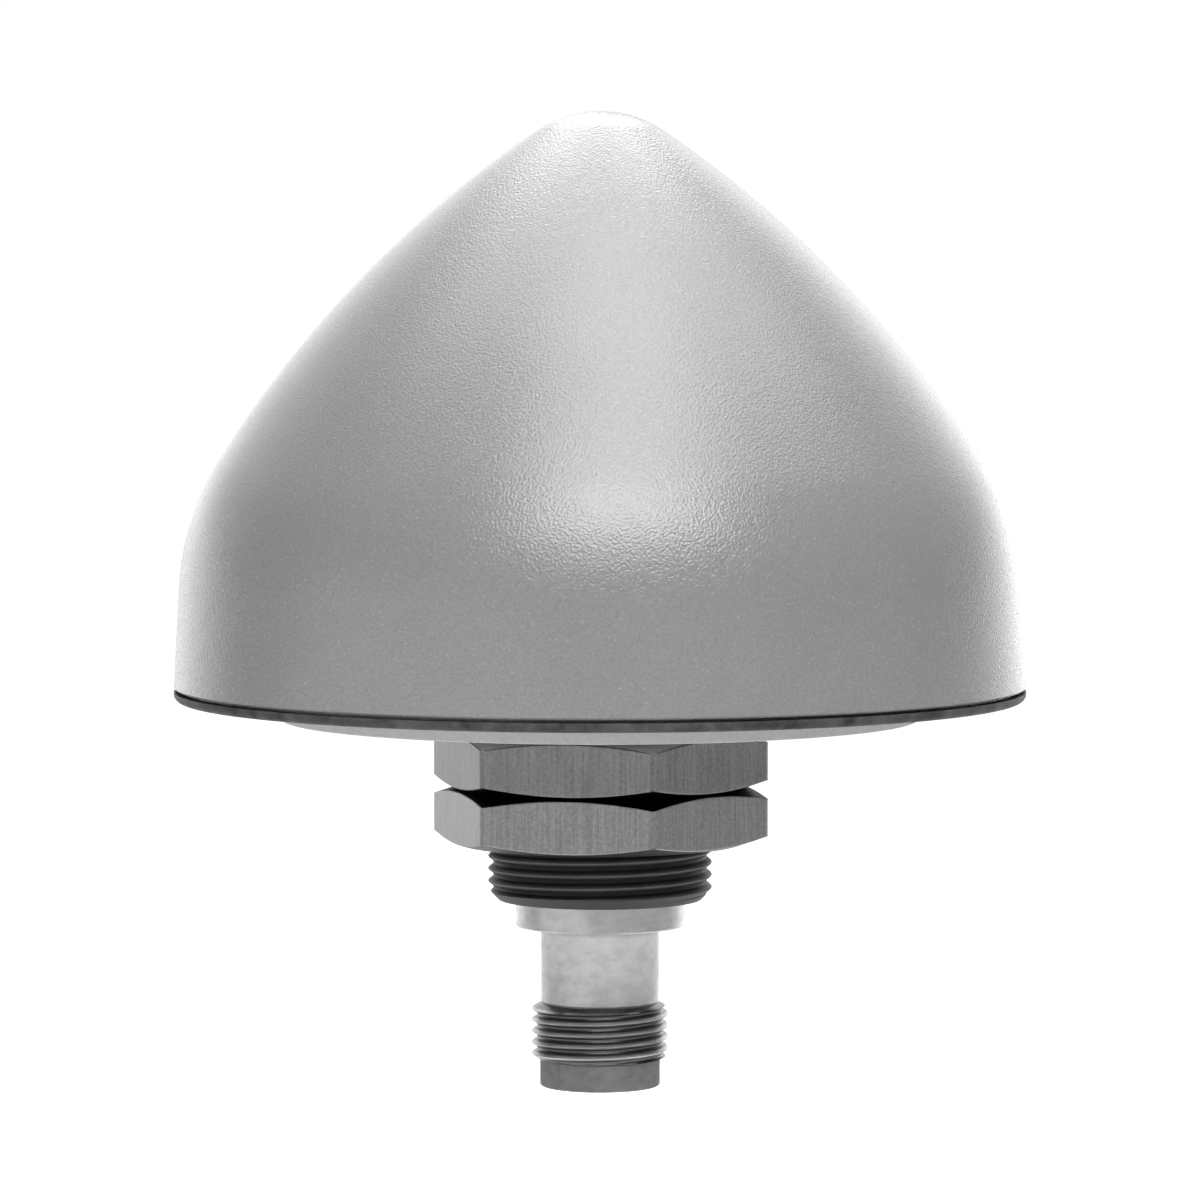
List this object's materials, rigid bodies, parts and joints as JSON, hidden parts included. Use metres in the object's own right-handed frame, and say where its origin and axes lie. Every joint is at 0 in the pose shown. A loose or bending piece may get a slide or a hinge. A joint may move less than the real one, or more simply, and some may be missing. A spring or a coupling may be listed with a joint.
{
  "type": "gnss antenna",
  "caption": "Pointed round radome on a flat gasketed base, with a hollow threaded stud and thin nuts for single-hole mounting and a threaded coaxial jack below.",
  "frame": {"origin": "on the stud's axis, in the plane of the gasket face that seals on a panel", "axes": "+Z along the stud's axis, from the seat towards the radome's tip; +X to the right of the picture"},
  "size_m": [0.0682, 0.0682, 0.0781],
  "materials": {
    "radome_plastic": "moulded fine grain",
    "silicone": "moulded",
    "base_plastic": "moulded satin",
    "gasket_foam": "closed-cell foam",
    "screw_steel": "zinc plated",
    "stud_metal": "blackened",
    "nut_metal": "brushed nickel plate",
    "jack_metal": "nickel plated",
    "ptfe": "turned",
    "gold_plating": "gold plated",
    "copper": "drawn",
    "board_laminate": "solder mask",
    "can_steel": "tinned sheet",
    "pad_foam": "acrylic foam",
    "ceramic": "fired",
    "silver": "fired silver",
    "chip_resin": "moulded epoxy"
  },
  "bodies": {
    "root": {"radome": "radome_plastic", "radome_seal": "silicone", "base_plate": "base_plastic", "base_gasket": "gasket_foam", "radome_screws": "screw_steel", "mounting_stud": "stud_metal", "upper_nut": "nut_metal", "lower_nut": "nut_metal", "connector_body": "jack_metal", "connector_seal": "silicone", "connector_insulator": "ptfe", "connector_contact": "gold_plating", "coax_shield": "copper", "coax_dielectric": "ptfe", "coax_core": "copper", "circuit_board": "board_laminate", "board_screws": "screw_steel", "shield_can": "can_steel", "patch_pad": "pad_foam", "patch_ceramic": "ceramic", "patch_electrode": "silver", "feed_pin": "gold_plating", "saw_filters": "ceramic", "amplifier_chips": "chip_resin", "voltage_regulator": "chip_resin", "chip_capacitors": "ceramic", "chip_inductors": "chip_resin"}
  },
  "joints": []
}
